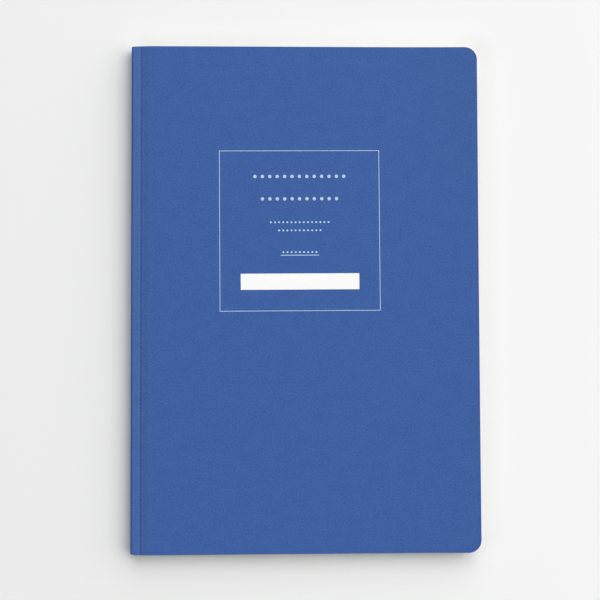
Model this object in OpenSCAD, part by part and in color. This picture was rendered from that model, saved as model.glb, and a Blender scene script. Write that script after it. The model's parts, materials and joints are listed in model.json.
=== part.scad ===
// Soft-cover composition notebook, glued back, lying on its back cover.
// The spine is at -X, the head of the page at +Y and the front cover at +Z.

/* [Pages] */
// Number of sheets in the block, each with two pages
sheet_count = 40; // [20:2:100]
// Thickness of one sheet
sheet_t = 0.13; // [0.1:0.01:0.2]
// Width of a sheet, from the glued back to the fore edge
page_w = 173.4; // [140:0.1:220]
// Height of a sheet, from head to tail
page_h = 254; // [200:1:320]
// Radius of the corners at the fore edge, of pages and covers alike
corner_r = 6.35; // [2:0.05:15]

/* [Cover] */
// Thickness of the cover card
card_t = 0.4; // [0.35:0.05:0.6]
// Outer radius of the fold at each long edge of the spine
shoulder_r = 1.2; // [0.7:0.05:1.5]
// Distance from the face of the spine to the score that the cover bends at
score_x = 4.7; // [4:0.1:10]
// Width of the score
score_w = 0.3; // [0.2:0.05:0.6]
// Depth of the valley that the card is pressed into along the score
valley_d = 0.2; // [0.05:0.05:0.25]
// Distance from the score to where the valley runs out on the cover
valley_run = 4.25; // [2:0.25:8]

/* [Binding] */
// Thickness of the glue between the backs of the sheets and the spine
back_glue_t = 0.5; // [0.3:0.1:1]
// Thickness of the glue beside the first and last sheets, and of the air beyond it
side_glue_t = 0.1; // [0.05:0.05:0.3]
// Distance from the edge of the side glue to the score
glue_stop = 0.6; // [0.2:0.1:1.5]

/* [Label] */
// Width of the printed frame
frame_w = 80.5; // [56:0.1:100]
// Height of the printed frame
frame_h = 80.8; // [66:0.1:110]
// Width of the frame's line
frame_line = 0.3; // [0.1:0.05:1]
// Distance from the face of the spine to the frame
frame_from_spine = 44.1; // [20:0.1:60]
// Distance from the head of the cover to the frame
frame_from_head = 52.7; // [10:0.1:70]
// Turn of the label against the spine, a small error of the press, in degrees
label_turn = 0.23; // [-1:0.01:1]
// Thickness of the printed ink
ink_t = 0.04; // [0.02:0.01:0.1]
// Height of the white field to write in
field_h = 8.05; // [4:0.05:11]
// Distance from each side of the frame to the field
field_side = 10.55; // [4:0.05:15]
// Distance from the middle of the frame down to the middle of the field
field_below = 25.6; // [24:0.05:30]
// Distance from the field to the short rule above it
rule_gap = 9; // [3:0.05:10]
// Width of the short rule
rule_w = 19.2; // [10:0.1:30]
// Thickness of the short rule
rule_t = 0.35; // [0.15:0.05:1]
// Distance from the short rule to the row of small dots above it
rule_dots_gap = 0.9; // [0.5:0.1:2]
// Diameter of a large dot
large_dot_d = 1.7; // [0.8:0.1:2.4]
// Distance between the middles of the large dots in a row
large_dot_pitch = 3.72; // [2.6:0.01:4.2]
// Distance from the middle of the frame up to the upper row of large dots
large_rows_above = 27.3; // [24:0.05:32]
// Distance between the two rows of large dots
large_rows_pitch = 11.3; // [5:0.1:14]
// Diameter of a small dot
small_dot_d = 0.95; // [0.4:0.05:1.5]
// Distance between the middles of the small dots in a row
small_dot_pitch = 2.07; // [1.7:0.01:2.6]
// Distance from the middle of the frame up to the upper row of small dots
small_rows_above = 4.2; // [0:0.05:6]
// Distance between the two rows of small dots
small_rows_pitch = 4.1; // [2:0.1:6]

/* [Hidden] */
// Number of dots in each row, from the top of the label down
large_row_dots = [13, 11];
small_row_dots = [15, 11];
rule_dots = 9;
rule_y = -field_below + field_h / 2 + rule_gap + rule_t / 2;
rule_dots_y = rule_y + rule_t / 2 + rule_dots_gap + small_dot_d / 2;
block_t = sheet_count * sheet_t;
body_t = block_t + 2 * side_glue_t + 2 * card_t;
block_x = card_t + back_glue_t;
body_w = block_x + page_w;
// Largest inner fold that leaves the square corners of the block clear of the card
fold_limit = back_glue_t + side_glue_t + sqrt(2 * back_glue_t * side_glue_t);
fold_r = min(shoulder_r - card_t, fold_limit);
back_r = fold_r + card_t;
strip_w = score_x - score_w / 2;
cut = 1;

// Section across the spine, drawn in X and Z, run from head to tail
module head_to_tail() {
    translate([-body_w / 2, 0, 0])
        rotate([90, 0, 0])
            linear_extrude(page_h, center = true)
                children();
}

// Section of a folded back of the given depth and thickness, rounded at its two long edges
module folded_back(depth, t, r) {
    translate([r, 0]) square([depth - r, t]);
    translate([0, r]) square([r, t - 2 * r]);
    for (z = [r, t - r])
        translate([r, z]) circle(r, $fn = 48);
}

// Outline of a leaf from x0 to the fore edge, with its two round corners, in X and Y
module leaf_outline(x0) {
    corner_y = page_h / 2 - corner_r;
    translate([-body_w / 2, 0]) {
        translate([x0, -page_h / 2]) square([body_w - corner_r - x0, page_h]);
        translate([body_w - 2 * corner_r, -corner_y]) square([2 * corner_r, 2 * corner_y]);
        for (y = [-corner_y, corner_y])
            translate([body_w - corner_r, y]) circle(corner_r, $fn = 96);
    }
}

// Valley pressed into the front along the score, as the section to take away
module score_valley() {
    polygon([
        [back_r, body_t],
        [score_x, body_t - valley_d],
        [score_x + valley_run, body_t],
        [score_x + valley_run, body_t + cut],
        [back_r, body_t + cut]
    ]);
}

// Turns a piece of the front over to the back, and the other way
module turned_over() {
    translate([0, 0, body_t]) mirror([0, 0, 1]) children();
}

module page_block() {
    color("ivory")
        translate([0, 0, card_t + side_glue_t])
            linear_extrude(block_t)
                leaf_outline(block_x);
}

module spine_glue() {
    color("wheat")
        head_to_tail()
            difference() {
                translate([card_t, card_t])
                    folded_back(strip_w - glue_stop - card_t, body_t - 2 * card_t, fold_r);
                translate([block_x, card_t + side_glue_t])
                    square([strip_w, block_t]);
            }
}

module spine_wrap() {
    color("royalblue")
        head_to_tail()
            difference() {
                folded_back(strip_w, body_t, back_r);
                translate([card_t, card_t])
                    folded_back(strip_w, body_t - 2 * card_t, fold_r);
                score_valley();
                translate([0, body_t]) mirror([0, 1]) score_valley();
            }
}

module front_cover() {
    panel_x = score_x + score_w / 2;
    color("royalblue")
        intersection() {
            head_to_tail()
                difference() {
                    translate([panel_x, body_t - card_t])
                        square([body_w - panel_x, card_t]);
                    score_valley();
                }
            linear_extrude(body_t + cut)
                leaf_outline(panel_x);
        }
}

module back_cover() {
    turned_over() front_cover();
}

// Places the label's print on the front cover, with the middle of the frame at the origin
module on_label() {
    color("white")
        translate([
            -body_w / 2 + frame_from_spine + frame_w / 2,
            page_h / 2 - frame_from_head - frame_h / 2,
            body_t
        ])
            rotate([0, 0, label_turn])
                linear_extrude(ink_t)
                    children();
}

// Flat bar whose middle lies at this height over the middle of the frame
module label_bar(w, h, y) {
    translate([0, y]) square([w, h], center = true);
}

// Row of dots, centred across the label, at this height over the middle of the frame
module dot_row(count, d, pitch, y) {
    for (i = [0 : count - 1])
        translate([(i - (count - 1) / 2) * pitch, y])
            circle(d = d, $fn = 24);
}

module label_frame() {
    on_label()
        difference() {
            label_bar(frame_w, frame_h, 0);
            label_bar(frame_w - 2 * frame_line, frame_h - 2 * frame_line, 0);
        }
}

module label_dots() {
    on_label() {
        for (i = [0, 1]) {
            dot_row(large_row_dots[i], large_dot_d, large_dot_pitch,
                large_rows_above - i * large_rows_pitch);
            dot_row(small_row_dots[i], small_dot_d, small_dot_pitch,
                small_rows_above - i * small_rows_pitch);
        }
        dot_row(rule_dots, small_dot_d, small_dot_pitch, rule_dots_y);
    }
}

module title_rule() {
    on_label() label_bar(rule_w, rule_t, rule_y);
}

module title_field() {
    on_label() label_bar(frame_w - 2 * field_side, field_h, -field_below);
}

page_block();
spine_glue();
spine_wrap();
front_cover();
back_cover();
label_frame();
label_dots();
title_rule();
title_field();
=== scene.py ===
# %% [markdown]
# # A soft-cover composition notebook
# The real notebook is a stack of writing paper, glued at the back into one folded card cover and trimmed on
# three sides in one cut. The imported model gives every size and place. This lesson dresses it: it bends the
# card round the spine, lays the sheets of paper one by one, and gives each surface its own finish.

import json
import math
import random

import bpy
import numpy as np
from mathutils import Euler, Matrix, Vector


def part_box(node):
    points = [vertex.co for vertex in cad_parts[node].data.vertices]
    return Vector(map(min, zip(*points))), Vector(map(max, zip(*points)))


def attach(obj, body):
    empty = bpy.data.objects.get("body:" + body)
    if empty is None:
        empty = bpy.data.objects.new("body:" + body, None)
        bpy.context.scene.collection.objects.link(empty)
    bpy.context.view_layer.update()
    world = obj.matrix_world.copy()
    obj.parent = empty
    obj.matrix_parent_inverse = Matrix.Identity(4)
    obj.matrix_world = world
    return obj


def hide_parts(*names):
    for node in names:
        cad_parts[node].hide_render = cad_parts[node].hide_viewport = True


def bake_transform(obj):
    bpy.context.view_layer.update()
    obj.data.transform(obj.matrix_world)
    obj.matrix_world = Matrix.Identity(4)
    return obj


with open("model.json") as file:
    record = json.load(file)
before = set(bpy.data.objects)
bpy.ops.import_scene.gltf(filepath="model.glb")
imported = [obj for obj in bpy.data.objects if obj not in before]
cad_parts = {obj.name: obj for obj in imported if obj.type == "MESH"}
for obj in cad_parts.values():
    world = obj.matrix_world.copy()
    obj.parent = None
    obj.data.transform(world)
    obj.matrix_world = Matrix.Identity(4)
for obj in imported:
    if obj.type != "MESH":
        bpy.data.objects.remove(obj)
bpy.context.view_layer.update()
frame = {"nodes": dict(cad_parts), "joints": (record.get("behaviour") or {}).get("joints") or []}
print("nodes", sorted(frame["nodes"]))

# %% [markdown]
# ## Read the sizes off the model
# The sizes could be typed in again here, but two copies of a number drift apart. So the length, the width,
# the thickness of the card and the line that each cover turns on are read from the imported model. Only what a
# box can't tell is written out, such as the radius of the folded shoulder and of the round corners.

# %% Sizes of the notebook
MM = 0.001
front_low, front_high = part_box("front_cover")
block_low, block_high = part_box("page_block")
wrap_low, wrap_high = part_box("spine_wrap")

SPINE_X = wrap_low.x
FORE_X = front_high.x
HALF_LENGTH = front_high.y
THICKNESS = wrap_high.z
CARD = front_high.z - front_low.z
SCORE_X = frame["joints"][0]["pos_m"][0]
WIDTH = FORE_X - SPINE_X
SCORE = SCORE_X - SPINE_X
SHOULDER = 1.2 * MM
CORNER = 6.35 * MM

print(f"cover {WIDTH / MM:.1f} x {2 * HALF_LENGTH / MM:.1f} mm, {THICKNESS / MM:.2f} mm thick")
print(f"card {CARD / MM:.2f} mm, score {SCORE / MM:.2f} mm from the face of the spine")

# %% [markdown]
# ## Helpers for shader nodes
# Every finish below is a small tree of nodes. Writing each node, its settings and its links on separate
# lines gets long, so one helper adds a node and connects its inputs: an input is either a value, which is set
# on the socket, or the output of another node, which is linked. The others give the output of the kinds of
# node that are used most. The Mix node has a set of sockets for each kind of value, and the numbers here are
# those for colours.

# %% Add a shader node in one line
MIX_SHARE, MIX_FIRST, MIX_SECOND, MIX_RESULT = 0, 6, 7, 2


def add_node(tree, kind, inputs=None, **settings):
    """Adds a node. Each input, named by its socket or its number, is a value or another node's output."""
    made = tree.nodes.new(kind)
    for name, value in settings.items():
        setattr(made, name, value)
    for name, value in (inputs or {}).items():
        socket = made.inputs[name]
        if isinstance(value, bpy.types.NodeSocket):
            tree.links.new(value, socket)
        else:
            socket.default_value = value
    return made


def do_math(tree, operation, *values):
    """The output of a Math node on up to three values or sockets."""
    made = add_node(tree, "ShaderNodeMath", dict(enumerate(values)), operation=operation)
    return made.outputs[0]


def spread(tree, value, low, high, to_low=0.0, to_high=1.0):
    """Maps a value from one range onto another, smoothly, and keeps it inside."""
    made = add_node(tree, "ShaderNodeMapRange", {
        "Value": value, "From Min": low, "From Max": high, "To Min": to_low, "To Max": to_high,
    }, interpolation_type="SMOOTHSTEP")
    return made.outputs["Result"]


def mix_colours(tree, share, first, second):
    """The output of a Mix node between two colours."""
    inputs = {MIX_SHARE: share, MIX_FIRST: first, MIX_SECOND: second}
    return add_node(tree, "ShaderNodeMix", inputs, data_type="RGBA").outputs[MIX_RESULT]


def stretch(tree, place, scales):
    """A place with each of its directions multiplied by a number of its own."""
    made = add_node(tree, "ShaderNodeVectorMath", {0: place, 1: scales}, operation="MULTIPLY")
    return made.outputs["Vector"]


def add_noise(tree, place, scale, detail, roughness=0.5, distortion=0.0):
    """A noise texture's value, from 0 to 1 and mostly near a half, at a place in metres."""
    made = add_node(tree, "ShaderNodeTexNoise", {
        "Vector": place, "Scale": scale, "Detail": detail, "Roughness": roughness, "Distortion": distortion,
    })
    return made.outputs["Fac"]


# %% [markdown]
# ## The tooth of paper, as one node group
# Uncoated paper isn't smooth. Its fibres lie mostly one way and leave a fine tooth, the pulp has settled in
# faint clouds, and ink lies thicker in the hollows than on the high spots. Card, writing paper and print all
# need this, so it is a node group that is built once. It takes a place on the sheet in metres and gives back
# a height for a bump and three masks: clouds some millimetres wide, a mottle of about a millimetre, and rare
# pale flecks. An image of scanned paper would do as well, but it repeats, and these textures don't.

# %% Node group: paper tooth
FLOAT, VECTOR, COLOUR = "NodeSocketFloat", "NodeSocketVector", "NodeSocketColor"
TOOTH_SCALE = 2300.0
FIBRE_SCALES = (5200.0, 900.0, 3000.0)
TOOTH_SHARE = 0.55
FIBRE_SHARE = 0.45
MASKS = {
    "Clouds": {"scale": 130.0, "detail": 4.0, "roughness": 0.6, "low": 0.3, "high": 0.7},
    "Mottle": {"scale": 1100.0, "detail": 2.0, "roughness": 0.75, "low": 0.25, "high": 0.75},
    "Flecks": {"scale": 1500.0, "detail": 1.0, "roughness": 0.4, "low": 0.72, "high": 0.82},
}


def new_group(name, inputs, outputs):
    """A shader node group with named sockets: each a name, a kind and, for an input, a value."""
    tree = bpy.data.node_groups.new(name, "ShaderNodeTree")
    for label, kind, value in inputs:
        socket = tree.interface.new_socket(label, in_out="INPUT", socket_type=kind)
        if value is not None:
            socket.default_value = value
    for label, kind in outputs:
        tree.interface.new_socket(label, in_out="OUTPUT", socket_type=kind)
    return tree, tree.nodes.new("NodeGroupInput"), tree.nodes.new("NodeGroupOutput")


def build_paper_tooth():
    outputs = [("Height", FLOAT)] + [(mask, FLOAT) for mask in MASKS]
    tree, given, result = new_group("paper_tooth", [("Place", VECTOR, None)], outputs)
    place = given.outputs["Place"]
    fine = add_noise(tree, place, TOOTH_SCALE, detail=3.0, roughness=0.6)
    fibres = add_noise(tree, stretch(tree, place, FIBRE_SCALES), 1.0, detail=2.0, distortion=0.6)
    height = do_math(tree, "MULTIPLY_ADD", fibres, FIBRE_SHARE, do_math(
        tree, "MULTIPLY", fine, TOOTH_SHARE))
    tree.links.new(height, result.inputs["Height"])
    for mask, look in MASKS.items():
        cloudy = add_noise(tree, place, look["scale"], look["detail"], look["roughness"])
        tree.links.new(spread(tree, cloudy, look["low"], look["high"]), result.inputs[mask])
    return tree


PAPER_TOOTH = build_paper_tooth()
print("group", PAPER_TOOTH.name, [s.name for s in PAPER_TOOTH.interface.items_tree])

# %% [markdown]
# ## Two colours by the masks, as one node group
# The ink on the cover is a little thicker here and thinner there, and writing paper is a little whiter here
# and greyer there. Both are a mix of two colours, so this too is a group: it adds up the masks, each with a
# strength of its own, and mixes a main colour with a second one by that share.

# %% Node group: clouded colour


def build_clouded_colour():
    tree, given, result = new_group(
        "clouded_colour",
        [("Colour", COLOUR, None), ("Second Colour", COLOUR, None)]
        + [(mask, FLOAT, 0.5) for mask in MASKS]
        + [(mask + " Strength", FLOAT, 0.1) for mask in MASKS],
        [("Colour", COLOUR)],
    )
    share = 0.0
    for mask in MASKS:
        share = do_math(tree, "MULTIPLY_ADD", given.outputs[mask], given.outputs[mask + " Strength"], share)
    colour = mix_colours(tree, share, given.outputs["Colour"], given.outputs["Second Colour"])
    tree.links.new(colour, result.inputs["Colour"])
    return tree


CLOUDED_COLOUR = build_clouded_colour()
print("group", CLOUDED_COLOUR.name, [s.name for s in CLOUDED_COLOUR.interface.items_tree])

# %% [markdown]
# ## One paper finish with its own values
# Printed card, bare card, writing paper and cut edges differ in colour, in how much they cloud, in how matt
# they are and in how deep their tooth is, and in nothing else. A function puts both groups into a new
# material and connects them to the shader, and each finish below calls it with its own numbers. The tooth
# goes to a Bump node, because it is a few hundredths of a millimetre deep, far below what a mesh needs to
# show. A bent piece gives its place by a UV map of the flat sheet, so that print and grain bend with it, and
# the others give theirs by the object.

# %% A paper material from both groups
FLAT_SHEET = "flat_sheet"
TOOTH_STRENGTH = 0.6
PAPER_GLOSS = 0.3


def new_material(name):
    """An empty material with a Principled BSDF, and its tree and shader."""
    material = bpy.data.materials.new(name)
    material.use_nodes = True
    tree = material.node_tree
    shader = next(n for n in tree.nodes if n.type == "BSDF_PRINCIPLED")
    return material, tree, shader


def add_bump(tree, shader, height, strength, depth):
    """Tilts the shader's surface by a height, which is a share of a depth in metres."""
    bump = add_node(tree, "ShaderNodeBump", {"Strength": strength, "Distance": depth, "Height": height})
    tree.links.new(bump.outputs["Normal"], shader.inputs["Normal"])


def paper_finish(name, colour, second, strengths, tooth_depth, roughness, place=FLAT_SHEET):
    """A paper-like material. Its place comes from a UV map, or from the object where place is None."""
    material, tree, shader = new_material(name)
    if place:
        source = add_node(tree, "ShaderNodeUVMap", uv_map=place).outputs["UV"]
    else:
        source = add_node(tree, "ShaderNodeTexCoord").outputs["Object"]
    tooth = add_node(tree, "ShaderNodeGroup", node_tree=PAPER_TOOTH)
    tree.links.new(source, tooth.inputs["Place"])
    tone = add_node(tree, "ShaderNodeGroup", node_tree=CLOUDED_COLOUR)
    tone.inputs["Colour"].default_value = (*colour, 1.0)
    tone.inputs["Second Colour"].default_value = (*second, 1.0)
    for mask, strength in zip(MASKS, strengths):
        tone.inputs[mask + " Strength"].default_value = strength
        tree.links.new(tooth.outputs[mask], tone.inputs[mask])
    add_bump(tree, shader, tooth.outputs["Height"], TOOTH_STRENGTH, tooth_depth)
    tree.links.new(tone.outputs["Colour"], shader.inputs["Base Color"])
    shader.inputs["Roughness"].default_value = roughness
    shader.inputs["Specular IOR Level"].default_value = PAPER_GLOSS
    return material, tree, shader, source, tooth, tone


# %% [markdown]
# ## The bare white card
# Inside the cover and along its cut edges the card has no print. Its face is plain white, and a cut edge is
# a little greyer, because light gets lost between the ends of the cut fibres. The card also shows through on
# the label, where the blue leaves it bare: white in the wide field, and a pale blue in the thin lines and the
# dots, because the wet ink beside them creeps in. The field is whiter than the inside, which has yellowed.

# %% Bare card, its cut edges and the label
BARE_CARD, *_ = paper_finish(
    "bare_card", colour=(0.87, 0.87, 0.85), second=(0.7, 0.69, 0.65),
    strengths=(0.08, 0.1, 0.25), tooth_depth=0.03 * MM, roughness=0.75)
CARD_EDGE, *_ = paper_finish(
    "card_edge", colour=(0.76, 0.755, 0.735), second=(0.62, 0.61, 0.57),
    strengths=(0.15, 0.2, 0.25), tooth_depth=0.03 * MM, roughness=0.8, place=None)
FINE_PRINT, *_ = paper_finish(
    "fine_print", colour=(0.5, 0.67, 0.9), second=(0.4, 0.56, 0.82),
    strengths=(0.1, 0.3, 0.2), tooth_depth=0.02 * MM, roughness=0.7, place=None)
LABEL_CARD, *_ = paper_finish(
    "label_card", colour=(0.985, 0.985, 0.98), second=(0.93, 0.93, 0.915),
    strengths=(0.05, 0.1, 0.2), tooth_depth=0.02 * MM, roughness=0.7, place=None)
print("finishes", BARE_CARD.name, CARD_EDGE.name, FINE_PRINT.name, LABEL_CARD.name)

# %% [markdown]
# ## The blue print
# One flat blue covers the outside of the card. On uncoated card the ink sinks in, so it stays matt, and the
# white card shines through a little wherever the ink is thin. The strip beside the spine was pressed hard
# when the back was glued, which left it a little smoother. Its colour is painted paler than the cover, as a
# painted sheen, which turns greyer on the way from the fold to the score. Beyond the score a trace of that
# sheen runs out over a few millimetres, and just past the score lies a thin dark line of painted shade in the
# crease. They could be pieces of their own, but on the real card they run into each other without an edge. So
# they are masks over the place on the flat sheet, and where the card was pressed the mask changes the
# roughness too. Each pair of numbers is where such a change begins and ends.

# %% Printed card
# The fold and pressed blues are painted sheen, paler than the cover's blue.
BLUE = (0.0221, 0.0848, 0.298)
THIN_INK = (0.1185, 0.200, 0.52)
FOLD_SHEEN_BLUE = (0.0284, 0.0955, 0.320)
PRESSED_SHEEN_BLUE = (0.029, 0.0905, 0.256)
# The creased blue is painted shade, a dark line along the crease.
CREASE_SHADE_BLUE = (0.0165, 0.07, 0.235)
FOLD_LENGTH = SHOULDER * math.pi / 2
FOLD_END_U = THICKNESS / 2 - SHOULDER + FOLD_LENGTH
SCORE_U = FOLD_END_U + SCORE - SHOULDER
GREYING = (FOLD_END_U + 0.2 * MM, SCORE_U - 0.8 * MM)
DROPPING = (SCORE_U - 0.6 * MM, SCORE_U - 0.1 * MM)
RUNNING_OUT = (SCORE_U + 2 * MM, SCORE_U + 6 * MM)
CREASE_SHADE_STARTING = (SCORE_U, SCORE_U + 0.4 * MM)
CREASE_SHADE_ENDING = (SCORE_U + 0.5 * MM, SCORE_U + 1.2 * MM)
PRESSED_SHEEN_BEYOND = 0.25
PRINT_ROUGHNESS = 0.75
MOTTLE_ROUGHER = 0.1
PRESSED_SMOOTHER = 0.1


def printed_card():
    material, tree, shader, source, tooth, tone = paper_finish(
        "printed_card", colour=BLUE, second=THIN_INK,
        strengths=(0.06, 0.31, 0.3), tooth_depth=0.04 * MM, roughness=0.8)
    across = add_node(tree, "ShaderNodeSeparateXYZ", {0: source}).outputs["X"]
    out_from_spine = do_math(tree, "ABSOLUTE", across)
    # Painted sheen on the strip by the spine, from the fold to the score and running out beyond it.
    greyer = spread(tree, out_from_spine, *GREYING)
    sheen_strip = mix_colours(tree, greyer, (*FOLD_SHEEN_BLUE, 1.0), (*PRESSED_SHEEN_BLUE, 1.0))
    dropping = spread(tree, out_from_spine, *DROPPING, 1.0, PRESSED_SHEEN_BEYOND)
    pressed_and_sheen = do_math(tree, "MULTIPLY", dropping, spread(tree, out_from_spine, *RUNNING_OUT, 1.0, 0.0))
    with_painted_sheen = mix_colours(tree, pressed_and_sheen, (*BLUE, 1.0), sheen_strip)
    # A thin line of painted shade in the crease, just past the score.
    crease_shade_starts = spread(tree, out_from_spine, *CREASE_SHADE_STARTING)
    crease_shade_ends = spread(tree, out_from_spine, *CREASE_SHADE_ENDING, 1.0, 0.0)
    crease_shade = do_math(tree, "MULTIPLY", crease_shade_starts, crease_shade_ends)
    ink = mix_colours(tree, crease_shade, with_painted_sheen, (*CREASE_SHADE_BLUE, 1.0))
    tree.links.new(ink, tone.inputs["Colour"])
    uneven = do_math(tree, "MULTIPLY_ADD", tooth.outputs["Mottle"], MOTTLE_ROUGHER, PRINT_ROUGHNESS)
    smoother = do_math(tree, "MULTIPLY_ADD", pressed_and_sheen, -PRESSED_SMOOTHER, uneven)
    tree.links.new(smoother, shader.inputs["Roughness"])
    return material


PRINTED_CARD = printed_card()
print("finish", PRINTED_CARD.name)

# %% [markdown]
# ## The profile of the card
# Seen from the tail, the card runs up the spine, turns over the shoulder, dips to the score and runs on to
# the fore edge. Each station on that path has a point on the outer face and one on the inner face. The dip
# has two parts: a shallow valley, which starts at the shoulder and runs out a few millimetres beyond the
# score, and a groove at the score itself, where a steel rule crushed the card. The groove is steeper on the
# cover's side, which the picture shows as a dark line beside a bright one. The inner face follows about a
# third of the way, since the card is crushed there as well as bent.
#
# An even grid would need thousands of stations to show the groove. So they crowd together where the shape
# turns, and at the score, where the cover will bend. The path has a few stops, and a number of steps between
# each two of them.

# %% Shape of the dip
VALLEY_DEPTH = 0.19 * MM
VALLEY_RUN = 4.25 * MM
VALLEY_FLOOR = 1.1 * MM
VALLEY_POWER = 1.2
GROOVE_DEPTH = 0.14 * MM
GROOVE_BEFORE = 0.9 * MM
GROOVE_AFTER = 0.6 * MM


def smooth(t):
    """A soft step from 0 to 1."""
    t = np.clip(t, 0, 1)
    return t * t * (3 - 2 * t)


def dip(x):
    """How far the outer face lies below the flat, at a distance from the face of the spine."""
    past = x - SCORE
    before = np.clip((x - SHOULDER) / (SCORE - SHOULDER), 0, 1) ** VALLEY_POWER
    after = 1 - smooth((past - VALLEY_FLOOR) / (VALLEY_RUN - VALLEY_FLOOR))
    groove = np.exp(-((past / np.where(past < 0, GROOVE_BEFORE, GROOVE_AFTER)) ** 2))
    return VALLEY_DEPTH * np.where(past < 0, before, after) + GROOVE_DEPTH * groove


print(f"the card dips by {dip(np.array([SCORE]))[0] / MM:.2f} mm at the score")

# %% [markdown]
# ## Stations across half of the card
# The path starts in the middle of the spine's face and ends at the fore edge. Its last stations follow the
# arc of the round corner. The length along the outer face is kept as well: it is the place on the flat sheet.

# %% Stations across half of the card
INNER_SHARE = 0.35
BEND_WIDTH = 0.45 * MM
LIFT_RUN = 48 * MM
FACE_STEPS = 3
TURN_STEPS = 10
RUN_STOPS = (SHOULDER, SCORE - 2 * GROOVE_BEFORE, SCORE, SCORE + BEND_WIDTH, SCORE + VALLEY_FLOOR,
             SCORE + VALLEY_RUN, WIDTH - LIFT_RUN, WIDTH - CORNER)
RUN_STEPS = (6, 16, 12, 8, 12, 12, 14)
RUN_ARC_POINTS = 15


def steps_between(stops, counts):
    """Places from the first stop up to, but without, the last, in a count of even steps between each two."""
    parts = [np.linspace(a, b, count + 1)[:-1] for a, b, count in zip(stops, stops[1:], counts)]
    return np.concatenate(parts)


def to_fore_edge(stops, counts, arc_points):
    """Distances from the spine's face to the fore edge, with the last ones on the arc of the corner."""
    arc = WIDTH - CORNER + CORNER * np.sin(np.linspace(0, math.pi / 2, arc_points))
    return np.concatenate([steps_between(stops, counts), arc])


def card_stations():
    """Outer and inner points (distance from the spine's face, height) and their places on the flat card."""
    centre = THICKNESS - SHOULDER
    inner_r = SHOULDER - CARD
    face = steps_between((THICKNESS / 2, centre), (FACE_STEPS,))
    turn = steps_between((math.pi, math.pi / 2), (TURN_STEPS,))
    run = to_fore_edge(RUN_STOPS, RUN_STEPS, RUN_ARC_POINTS)
    outer = np.concatenate([
        np.stack([face * 0, face], axis=-1),
        np.stack([SHOULDER + SHOULDER * np.cos(turn), centre + SHOULDER * np.sin(turn)], axis=-1),
        np.stack([run, THICKNESS - dip(run)], axis=-1),
    ])
    inner = np.concatenate([
        np.stack([face * 0 + CARD, face], axis=-1),
        np.stack([SHOULDER + inner_r * np.cos(turn), centre + inner_r * np.sin(turn)], axis=-1),
        np.stack([run, THICKNESS - CARD - INNER_SHARE * dip(run)], axis=-1),
    ])
    steps = np.linalg.norm(np.diff(outer, axis=0), axis=1)
    return outer, inner, np.concatenate([[0], np.cumsum(steps)])


outer_path, inner_path, along_card = card_stations()
print(f"{len(outer_path)} stations, half the card is {along_card[-1] / MM:.1f} mm wide when flat")

# %% [markdown]
# ## The round corners
# The notebook was trimmed with a round punch at the two corners of the fore edge. A hole or a boolean would
# leave ragged faces, so the grid itself is shortened: every column of points is squeezed to the half length
# that the outline has there, and the last columns follow the arc. The two ends of the spine have no round
# corner, but the folded back is pushed in there by the knife and by handling. It gives way by half a
# millimetre at the face of the spine, and less and less towards the score.

# %% Half the length at a distance from the spine
SPINE_END_IN = 0.5 * MM
SPINE_END_RUN = 2.8 * MM


def half_length_at(x):
    """Half the length of the notebook, at a distance from the face of the spine."""
    past = np.clip(x - (WIDTH - CORNER), 0, CORNER)
    punched_off = CORNER - np.sqrt(CORNER**2 - past**2)
    pushed_in = SPINE_END_IN * np.exp(-x / SPINE_END_RUN)
    return HALF_LENGTH - punched_off - pushed_in


def plan(x, height, rows, lift=None):
    """A grid of points over the outline, from the stations' distances and heights, and rows from -1 to 1."""
    across = np.repeat(x[:, None], len(rows), axis=1)
    along = half_length_at(x)[:, None] * rows[None, :]
    up = np.repeat(height[:, None], len(rows), axis=1)
    if lift is not None:
        up = up + lift(across, along)
    return np.stack([SPINE_X + across, along, up], axis=-1)


print(f"fore edge straight for {2 * half_length_at(np.array([WIDTH]))[0] / MM:.1f} mm")

# %% [markdown]
# ## A thin sheet as two grids of points
# Card and paper are thin, but they aren't surfaces without a thickness: a cut edge shows, and light must not
# leak through. A plane with a Solidify modifier would do for a flat sheet. Here both faces have a shape of
# their own at the folds, so each sheet is built from two grids of points, an outer and an inner one, with a
# rim between their borders. The result is closed, and the rim is the cut edge, which gets its own material.

# %% Build a closed thin sheet
OUTSIDE, INSIDE, CUT_EDGE = 0, 1, 2


def thin_sheet(outer, inner, facing_down=False):
    """Points, faces and the kind of each face, from two grids of points [column, row]."""
    columns, rows = outer.shape[:2]
    count = columns * rows
    points = np.concatenate([outer.reshape(-1, 3), inner.reshape(-1, 3)])
    at = np.arange(count).reshape(columns, rows)
    corners = [at[:-1, :-1], at[1:, :-1], at[1:, 1:], at[:-1, 1:]]
    outside = np.stack(corners, axis=-1).reshape(-1, 4)
    inside = outside[:, ::-1] + count
    border = np.concatenate([at[:-1, 0], at[-1, :-1], at[:0:-1, -1], at[0, :0:-1]])
    ahead = np.roll(border, -1)
    rim = np.stack([border, border + count, ahead + count, ahead], axis=-1)
    faces = np.concatenate([outside, inside, rim])
    kinds = np.repeat([OUTSIDE, INSIDE, CUT_EDGE], [len(outside), len(inside), len(rim)])
    return points, faces[:, ::-1] if facing_down else faces, kinds


# %% [markdown]
# ## From points and faces to a piece
# A mesh can be shaded flat or smooth. The faces of a sheet are smooth, but the turn to its cut edge is sharp,
# so every edge that turns by more than an angle is marked as sharp. Where a piece is given the place of each
# point on the flat sheet, in metres, that place is written to a UV map.

# %% Make a piece of the scene
SHARP_FROM = math.radians(35)


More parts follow.
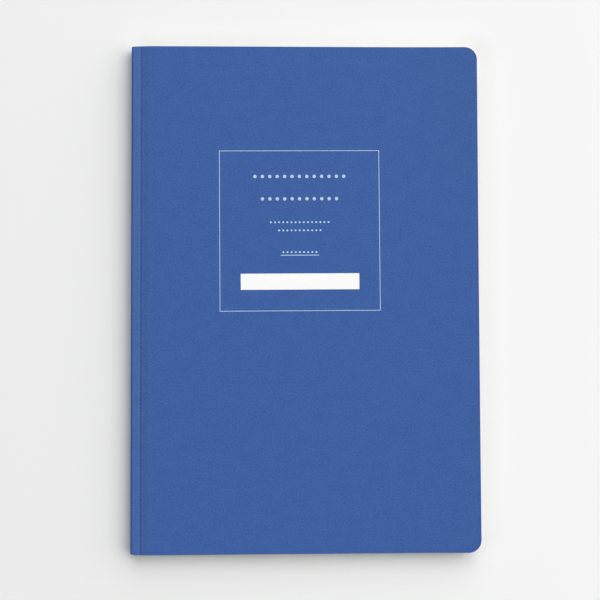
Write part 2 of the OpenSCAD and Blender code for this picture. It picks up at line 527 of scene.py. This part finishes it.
def make_piece(name, points, faces, kinds, finishes, flat_places=None):
    """A piece with one material for each kind of face, smooth apart from its sharp edges."""
    mesh = bpy.data.meshes.new(name)
    mesh.from_pydata(points.tolist(), [], faces.tolist())
    for finish in finishes:
        mesh.materials.append(finish)
    mesh.polygons.foreach_set("material_index", kinds.astype(np.int32))
    if flat_places is not None:
        loop_points = np.zeros(len(mesh.loops), np.int32)
        mesh.loops.foreach_get("vertex_index", loop_points)
        layer = mesh.uv_layers.new(name=FLAT_SHEET)
        layer.uv.foreach_set("vector", flat_places[loop_points].astype(np.float32).ravel())
    mesh.shade_smooth()
    mesh.set_sharp_from_angle(angle=SHARP_FROM)
    mesh.validate()
    piece = bpy.data.objects.new(name, mesh)
    bpy.context.scene.collection.objects.link(piece)
    print(f"{name}: {len(points)} points, {len(faces)} faces")
    return piece


# %% [markdown]
# ## The cover, in two bent sheets
# The real cover is one card. A piece of this scene can bend across one joint only, and the card crosses two,
# one at each score. So it is made in two closed halves that meet in the middle of the spine, where nothing
# moves. Each half runs unbroken through its score.
# A new card cover never lies quite flat: the front springs up a little towards the fore edge, and its corners
# most. The back is pressed flat under the pages. On the flat sheet the inside lies a metre away from the
# outside, so that the grain of one doesn't repeat the grain of the other.

# %% Front and back of the cover
COVER_ROWS = np.linspace(-1, 1, 41)
EDGE_LIFT = 0.45 * MM
CORNER_LIFT = 0.55 * MM
INSIDE_AWAY = 1.0


def spring(across, along):
    """How far the front cover springs up, more towards the fore edge and its corners."""
    share = np.clip((across - (WIDTH - LIFT_RUN)) / LIFT_RUN, 0, 1)
    return share**2 * (EDGE_LIFT + CORNER_LIFT * (along / HALF_LENGTH) ** 2)


def cover_half(name, is_front):
    lift = spring if is_front else None
    outer = plan(outer_path[:, 0], outer_path[:, 1], COVER_ROWS, lift)
    inner = plan(inner_path[:, 0], inner_path[:, 1], COVER_ROWS, lift)
    if not is_front:
        for grid in (outer, inner):
            grid[..., 2] = THICKNESS - grid[..., 2]
    points, faces, kinds = thin_sheet(outer, inner, facing_down=not is_front)
    flat = np.stack([np.repeat(along_card, len(COVER_ROWS)), outer[..., 1].ravel()], axis=-1)
    if not is_front:
        flat[:, 0] *= -1
    return make_piece(name, points, faces, kinds, [PRINTED_CARD, BARE_CARD, CARD_EDGE],
                      np.concatenate([flat, flat + INSIDE_AWAY]))


front_card = cover_half("front_card", is_front=True)
back_card = cover_half("back_card", is_front=False)
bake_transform(front_card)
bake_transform(back_card)
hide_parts("front_cover", "spine_wrap")
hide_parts("back_cover", "spine_wrap")

# %% [markdown]
# ## Writing paper
# The first and last pages show when a cover is opened. They are ruled with plain pale lines. Thin solids
# would do, but print has no height, so a few math nodes make the lines from the place on the page: the
# distance from the head, cut into equal steps, with a thin line at each.
#
# Close to the glued back the page is painted a little darker, as painted shade. Without it the
# fold of an opened cover, a white wall that faces the light, makes the page beside it glow.

# %% Ruled page
BLACK = (0.0, 0.0, 0.0, 1.0)
RULE_STEP = 7.1 * MM
RULE_WIDTH = 0.22 * MM
RULE_BLUE = (0.36, 0.5, 0.72)
HEAD_MARGIN = 26 * MM
TAIL_MARGIN = 13 * MM
FIRST_RULE_Y = HALF_LENGTH - HEAD_MARGIN
RULES_RUN = 2 * HALF_LENGTH - HEAD_MARGIN - TAIL_MARGIN
RULES_STOP_X = FORE_X - 1.5 * MM
RULES_BEGINNING = (-1 * MM, -0.5 * MM)
RULES_ENDING = (RULES_RUN, RULES_RUN + 0.5 * MM)
RULES_STOPPING = (RULES_STOP_X, RULES_STOP_X + 0.3 * MM)
GUTTER_RUN = 3 * MM
GUTTER_PAINTED_SHADE = 0.28


def ruled_page():
    material, tree, shader, source, _, tone = paper_finish(
        "ruled_page", colour=(0.88, 0.875, 0.84), second=(0.76, 0.745, 0.69),
        strengths=(0.12, 0.1, 0.3), tooth_depth=0.02 * MM, roughness=0.8, place=None)
    on_page = add_node(tree, "ShaderNodeSeparateXYZ", {0: source}).outputs
    from_head = do_math(tree, "SUBTRACT", FIRST_RULE_Y, on_page["Y"])
    step = do_math(tree, "FLOORED_MODULO", do_math(tree, "ADD", from_head, RULE_STEP / 2), RULE_STEP)
    off_line = do_math(tree, "ABSOLUTE", do_math(tree, "SUBTRACT", step, RULE_STEP / 2))
    line = spread(tree, off_line, RULE_WIDTH / 2, RULE_WIDTH, 1.0, 0.0)
    below_head = spread(tree, from_head, *RULES_BEGINNING)
    above_tail = spread(tree, from_head, *RULES_ENDING, 1.0, 0.0)
    before_edge = spread(tree, on_page["X"], *RULES_STOPPING, 1.0, 0.0)
    on_lines = do_math(tree, "MULTIPLY", below_head, do_math(tree, "MULTIPLY", above_tail, before_edge))
    inked = do_math(tree, "MULTIPLY", line, on_lines)
    ruled = mix_colours(tree, inked, tone.outputs["Colour"], (*RULE_BLUE, 1.0))
    # Painted shade along the gutter, against the light that the fold of an opened cover throws on the page.
    darker = spread(tree, on_page["X"], SCORE_X, SCORE_X + GUTTER_RUN, GUTTER_PAINTED_SHADE, 0.0)
    tree.links.new(mix_colours(tree, darker, ruled, BLACK), shader.inputs["Base Color"])
    return material


RULED_PAGE = ruled_page()
print("finish", RULED_PAGE.name)

# %% [markdown]
# ## The cut edges of the block
# The sides of the block are streaked along the sheets, because each sheet catches the light a little
# differently. A noise texture that is stretched along the block and fine across it gives those streaks.

# %% Block edge
STREAK_SCALES = (25.0, 25.0, 3800.0)
STREAK_GREY = (0.47, 0.455, 0.41)
STREAK_LOW = 0.35
STREAK_HIGH = 0.65
STREAK_STRENGTH = 0.5


def block_edge():
    material, tree, shader, source, _, tone = paper_finish(
        "block_edge", colour=(0.68, 0.67, 0.63), second=(0.53, 0.515, 0.47),
        strengths=(0.12, 0.1, 0.3), tooth_depth=0.02 * MM, roughness=0.85, place=None)
    streaks = add_noise(tree, stretch(tree, source, STREAK_SCALES), 1.0, detail=3.0, roughness=0.7)
    darker = spread(tree, streaks, STREAK_LOW, STREAK_HIGH, 0.0, STREAK_STRENGTH)
    streaked = mix_colours(tree, darker, tone.outputs["Colour"], (*STREAK_GREY, 1.0))
    tree.links.new(streaked, shader.inputs["Base Color"])
    return material


BLOCK_EDGE = block_edge()
print("finish", BLOCK_EDGE.name)

# %% [markdown]
# ## The sheets, one by one
# The block could be one box with stripes painted on its sides, but from near by its edge would be too
# straight. So each sheet is a thin closed slab of its own, a hair apart from the next, and shifted by a few
# hundredths of a millimetre as a guillotine and handling leave them. The top few follow the cover up at the
# fore edge. All of them are one mesh, because a book's pages are one piece of the model.

# %% Forty sheets of writing paper
SHEETS = 40
SHEET_ROWS = np.linspace(-1, 1, 13)
SHEET_STEP = (block_high.z - block_low.z) / SHEETS
SHEET_FILL = 0.9
SHEET_START = block_low.x - SPINE_X
PUSHED_IN_UNTIL = 3 * SPINE_END_RUN
SHEET_STOPS = (SHEET_START, PUSHED_IN_UNTIL, WIDTH - LIFT_RUN, WIDTH - CORNER)
SHEET_STEPS = (5, 3, 5)
SHEET_ARC_POINTS = 9
SLIP = 0.04 * MM
FURTHEST_IN = -2 * SLIP
FURTHEST_OUT = SLIP
RIPPLE_TURN = 4
RIPPLE_SHARE = 0.5
FAN_SHARE = 0.4
FAN_POWER = 7
PAGE_FACE, PAGE_EDGE = 0, 1
SEED = 40
draw = random.Random(SEED)


def sheet_grids(number):
    """Upper and lower grid of one sheet, counted from the back."""
    low = block_low.z + number * SHEET_STEP
    x = to_fore_edge(SHEET_STOPS, SHEET_STEPS, SHEET_ARC_POINTS)
    fan = FAN_SHARE * ((number + 1) / SHEETS) ** FAN_POWER
    shift_x, shift_y, wave, phase = (draw.gauss(0, SLIP) for _ in range(4))
    grids = []
    for height in (low + SHEET_FILL * SHEET_STEP, low):
        grid = plan(x, x * 0 + height, SHEET_ROWS, lambda across, along: fan * spring(across, along))
        loose = np.clip((grid[..., 0] - SPINE_X - SHEET_START) / (WIDTH - SHEET_START), 0, 1)
        ripple = wave * np.sin(grid[..., 1] / HALF_LENGTH * RIPPLE_TURN + phase / SLIP)
        grid[..., 0] += loose * (np.clip(shift_x, FURTHEST_IN, FURTHEST_OUT) + RIPPLE_SHARE * ripple)
        grid[..., 1] += loose * shift_y
        grids.append(grid)
    return grids


def page_sheets():
    parts, offset = [], 0
    for number in range(SHEETS):
        points, faces, kinds = thin_sheet(*sheet_grids(number))
        finish = np.full(len(kinds), PAGE_EDGE)
        if number == SHEETS - 1:
            finish[kinds == OUTSIDE] = PAGE_FACE
        if number == 0:
            finish[kinds == INSIDE] = PAGE_FACE
        parts.append((points, faces + offset, finish))
        offset += len(points)
    points, faces, finish = (np.concatenate(column) for column in zip(*parts))
    return make_piece("page_sheets", points, faces, finish, [RULED_PAGE, BLOCK_EDGE])


pages = page_sheets()
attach(pages, "bound_block")
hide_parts("page_block")

# %% [markdown]
# ## The glue in the back
# Hot-melt glue is a milky resin with a soft shine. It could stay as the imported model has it, but for its two
# ends, which were cut together with the card and pushed in with it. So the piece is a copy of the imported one
# whose end points follow the same outline.

# %% Glue between the sheets and the spine
GLUE_AMBER = (0.72, 0.66, 0.47, 1.0)
GLUE_MILK = (0.86, 0.82, 0.68, 1.0)
GLUE_RIPPLE_SCALE = 900.0
GLUE_RIPPLE_STRENGTH = 0.5
GLUE_RIPPLE_DEPTH = 0.08 * MM
GLUE_ROUGHNESS = 0.38
GLUE_GLOW = 0.2
GLUE_GLOW_DEPTH = 0.4 * MM
END_REACH = 1 * MM


def binding_glue():
    material, tree, shader = new_material("binding_glue")
    place = add_node(tree, "ShaderNodeTexCoord").outputs["Object"]
    ripples = add_noise(tree, place, GLUE_RIPPLE_SCALE, detail=3.0)
    tree.links.new(mix_colours(tree, ripples, GLUE_AMBER, GLUE_MILK), shader.inputs["Base Color"])
    add_bump(tree, shader, ripples, GLUE_RIPPLE_STRENGTH, GLUE_RIPPLE_DEPTH)
    shader.inputs["Roughness"].default_value = GLUE_ROUGHNESS
    shader.inputs["Subsurface Weight"].default_value = GLUE_GLOW
    shader.inputs["Subsurface Scale"].default_value = GLUE_GLOW_DEPTH
    return material


def back_glue():
    mesh = frame["nodes"]["spine_glue"].data.copy()
    mesh.materials.clear()
    mesh.materials.append(binding_glue())
    places = np.zeros(3 * len(mesh.vertices))
    mesh.vertices.foreach_get("co", places)
    places = places.reshape(-1, 3)
    ends = np.abs(places[:, 1]) > HALF_LENGTH - END_REACH
    places[ends, 1] = np.sign(places[ends, 1]) * half_length_at(places[ends, 0] - SPINE_X)
    mesh.vertices.foreach_set("co", places.ravel())
    mesh.update()
    piece = bpy.data.objects.new("back_glue", mesh)
    bpy.context.scene.collection.objects.link(piece)
    print("back_glue:", int(ends.sum()), "of", len(places), "points lie at its two ends")
    return piece


glue = back_glue()
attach(glue, "bound_block")
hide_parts("spine_glue")

# %% [markdown]
# ## The label
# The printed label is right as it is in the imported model, down to its slight turn, so its nodes stay and only
# get a finish. The frame, dots, rule and field are bare card that the print left open.

# %% Finish the nodes that stay


def dress_node(name, material):
    node = frame["nodes"][name]
    node.material_slots[0].material = material
    print("dressed", name, "with", material.name)


dress_node("title_field", LABEL_CARD)
for printed in ("label_frame", "label_dots", "title_rule"):
    dress_node(printed, FINE_PRINT)

# %% [markdown]
# ## The table under it
# The notebook lies on a plain pale sweep. A cover that is opened right round lies a little lower than the
# closed one, so the sweep is set just below that, half a millimetre under the back cover. In the picture the
# sweep is a little paler towards the right, while the cover isn't, so that is its own colour and not the
# light on it. Its material grows paler that way.
#
# The page edges that face the light throw some of it back on to the sweep, and a sweep of one colour shows a
# white glow beside them. The picture has none, and its ground is even a touch greyer there. So the colour of
# the sweep is a little darker in a soft band along those two sides. The band is narrower above the head, and
# weaker towards its right end.

# %% Darker band beside the lit sides
BAND_WIDTH = 15 * MM
HEAD_BAND_WIDTH = 12.5 * MM
BAND_ENDS_FROM = -4 * MM
BAND_ENDS_TO = 8 * MM
HEAD_BAND_FROM = HALF_LENGTH - 20 * MM
HEAD_WEAKER_LEFT = 0.06
HEAD_WEAKER_RIGHT = 0.25
HEAD_WEAKER_FROM = -40 * MM
HEAD_WEAKER_TO = 30 * MM


def lit_side_band(tree, place):
    """A mask that is strongest at the fore edge, weaker along the head, and fades out away from both."""
    x, y, _ = add_node(tree, "ShaderNodeSeparateXYZ", {0: place}).outputs
    past_fore_edge = do_math(tree, "MAXIMUM", do_math(tree, "SUBTRACT", x, FORE_X), 0.0)
    past_head = do_math(tree, "MAXIMUM", do_math(tree, "SUBTRACT", y, HALF_LENGTH), 0.0)
    stretched = do_math(tree, "MULTIPLY", past_head, BAND_WIDTH / HEAD_BAND_WIDTH)
    away = add_node(tree, "ShaderNodeCombineXYZ", {0: past_fore_edge, 1: stretched}).outputs[0]
    distance = add_node(tree, "ShaderNodeVectorMath", {0: away}, operation="LENGTH").outputs["Value"]
    near = spread(tree, distance, 0.0, BAND_WIDTH, 1.0, 0.0)
    at_head = spread(tree, y, HEAD_BAND_FROM, HALF_LENGTH)
    weaker = spread(tree, x, HEAD_WEAKER_FROM, HEAD_WEAKER_TO, HEAD_WEAKER_LEFT, HEAD_WEAKER_RIGHT)
    strength = do_math(tree, "SUBTRACT", 1.0, do_math(tree, "MULTIPLY", at_head, weaker))
    right_of_spine = spread(tree, x, SPINE_X + BAND_ENDS_FROM, SPINE_X + BAND_ENDS_TO)
    above_tail = spread(tree, y, -HALF_LENGTH + BAND_ENDS_FROM, -HALF_LENGTH + BAND_ENDS_TO)
    ending = do_math(tree, "MULTIPLY", right_of_spine, above_tail)
    return do_math(tree, "MULTIPLY", do_math(tree, "MULTIPLY", near, strength), ending)


print(f"band {BAND_WIDTH / MM:.1f} mm wide at the fore edge and {HEAD_BAND_WIDTH / MM:.1f} mm at the head")

# %% [markdown]
# ## The sweep itself
# Four corners are enough for a flat table. It reaches three metres each way, so that its far end lies low in
# the picture even where the camera looks almost along it.

# %% Floor
FLOOR_Z = -0.56 * MM
FLOOR_HALF = 3.0
FLOOR_ROUGHNESS = 0.9
PALER_TOWARDS = (1.0, 0.03, 0.0)
PALER_RUN = 0.25
FLOOR_GREY = (0.885, 0.885, 0.885, 1.0)
FLOOR_WHITE = (0.95, 0.95, 0.95, 1.0)
BAND_STRENGTH = 0.155


def floor_material():
    material, tree, shader = new_material("pale_floor")
    place = add_node(tree, "ShaderNodeTexCoord").outputs["Object"]
    along = add_node(tree, "ShaderNodeVectorMath", {0: place, 1: PALER_TOWARDS}, operation="DOT_PRODUCT")
    paler = spread(tree, along.outputs["Value"], -PALER_RUN, PALER_RUN)
    tint = mix_colours(tree, paler, FLOOR_GREY, FLOOR_WHITE)
    banded = do_math(tree, "MULTIPLY", lit_side_band(tree, place), BAND_STRENGTH)
    tree.links.new(mix_colours(tree, banded, tint, BLACK), shader.inputs["Base Color"])
    shader.inputs["Roughness"].default_value = FLOOR_ROUGHNESS
    shader.inputs["Specular IOR Level"].default_value = 0.0
    return material


def pale_floor():
    mesh = bpy.data.meshes.new("floor")
    corners = [(-1, -1), (1, -1), (1, 1), (-1, 1)]
    mesh.from_pydata([(x * FLOOR_HALF, y * FLOOR_HALF, FLOOR_Z) for x, y in corners], [], [(0, 1, 2, 3)])
    mesh.materials.append(floor_material())
    floor = bpy.data.objects.new("floor", mesh)
    bpy.context.scene.collection.objects.link(floor)


pale_floor()
print(f"floor at {FLOOR_Z / MM:.2f} mm")

# %% [markdown]
# ## The window light
# In the picture the shadow falls to the left and the bottom, fades over three centimetres, and the other two
# sides have almost none. A sun would give it a hard edge, and a world of even light a rim all round. A very
# large light at the upper right does what the picture shows. It reaches from just above the table almost to
# overhead, and it stands far enough away to light both ends of the cover alike.

# %% Window light
WINDOW_HEADING = math.radians(45.0)
WINDOW_HEIGHT = math.radians(37.0)
WINDOW_DISTANCE = 8.0
WINDOW_WIDTH = 24.0
WINDOW_TALL = 12.0
WINDOW_RADIANCE = 2.47


def window_light():
    level = math.cos(WINDOW_HEIGHT)
    towards = Vector((
        math.cos(WINDOW_HEADING) * level, math.sin(WINDOW_HEADING) * level, math.sin(WINDOW_HEIGHT)))
    data = bpy.data.lights.new("window", "AREA")
    data.shape = "RECTANGLE"
    data.size = WINDOW_WIDTH
    data.size_y = WINDOW_TALL
    data.energy = WINDOW_RADIANCE * math.pi * WINDOW_WIDTH * WINDOW_TALL
    lamp = bpy.data.objects.new("window", data)
    lamp.location = towards * WINDOW_DISTANCE
    lamp.rotation_euler = towards.to_track_quat("Z", "Y").to_euler()
    bpy.context.scene.collection.objects.link(lamp)


window_light()
print(f"window {WINDOW_WIDTH} x {WINDOW_TALL} m, {WINDOW_DISTANCE} m away")

# %% [markdown]
# ## The world around it
# The world fills the shadow at a low level. Reflections see it at full white. The camera sees it greyer on
# the side away from the window, as the far end of the sweep is there, so that no hard horizon crosses a low
# view. A backdrop behind the table could hide the horizon from one side, and this works from all of them.

# %% World
WHITE = (1.0, 1.0, 1.0, 1.0)
FILL_LEVEL = 0.16
SKY_LEVEL = 1.0
SKY_AWAY_FROM_WINDOW = 0.65
SKY_WHITE_FROM = 0.75
STRAIGHT_AWAY = -1.0


def pale_world():
    world = bpy.data.worlds.new("pale_world")
    world.use_nodes = True
    bpy.context.scene.world = world
    tree = world.node_tree
    tree.nodes.clear()
    ray = add_node(tree, "ShaderNodeLightPath").outputs
    seen = do_math(tree, "MAXIMUM", ray["Is Camera Ray"], do_math(
        tree, "MAXIMUM", ray["Is Glossy Ray"], ray["Is Transmission Ray"]))
    direction = add_node(tree, "ShaderNodeTexCoord").outputs["Generated"]
    towards_window = add_node(tree, "ShaderNodeVectorMath", {
        0: direction, 1: (math.cos(WINDOW_HEADING), math.sin(WINDOW_HEADING), 0.0),
    }, operation="DOT_PRODUCT").outputs["Value"]
    greyer = spread(
        tree, towards_window, STRAIGHT_AWAY, SKY_WHITE_FROM, SKY_AWAY_FROM_WINDOW - SKY_LEVEL, 0.0)
    sky = do_math(tree, "MULTIPLY_ADD", ray["Is Camera Ray"], greyer, SKY_LEVEL)
    lighting = add_node(tree, "ShaderNodeBackground", {"Color": WHITE, "Strength": FILL_LEVEL})
    showing = add_node(tree, "ShaderNodeBackground", {"Color": WHITE, "Strength": sky})
    both = add_node(tree, "ShaderNodeMixShader", {0: seen, 1: lighting.outputs[0], 2: showing.outputs[0]})
    add_node(tree, "ShaderNodeOutputWorld", {"Surface": both.outputs[0]})


pale_world()
bpy.context.scene.view_settings.view_transform = "Standard"
print("world", bpy.context.scene.world.name)

# %% [markdown]
# ## The camera
# The picture was taken from half a metre above, looking straight down but for about two and a half degrees. A
# plain camera aimed at the middle would miss that lean, and the cover's sides would run parallel instead of
# spreading towards the tail. So the cover's middle is given as the camera sees it, with the small turns
# between the two, and the camera's place is worked out backwards from them.

# %% Camera over the cover
LENS = 60.0
SENSOR = 36.0
NEAREST = 0.01
FARTHEST = 50.0
COVER_TURN = Euler([math.radians(a) for a in (-2.092, 1.509, 0.125)], "XYZ")
COVER_SEEN_AT = Vector((2.79, 0.98, -500.45)) * MM


def overhead_camera():
    data = bpy.data.cameras.new("camera")
    data.lens = LENS
    data.sensor_width = SENSOR
    data.clip_start = NEAREST
    data.clip_end = FARTHEST
    camera = bpy.data.objects.new("camera", data)
    back = COVER_TURN.to_matrix().transposed()
    place = Vector((0, 0, THICKNESS)) - back @ COVER_SEEN_AT
    camera.matrix_world = Matrix.Translation(place) @ back.to_4x4()
    bpy.context.scene.collection.objects.link(camera)
    bpy.context.scene.camera = camera
    return place


print("camera at", [round(v, 4) for v in overhead_camera()])
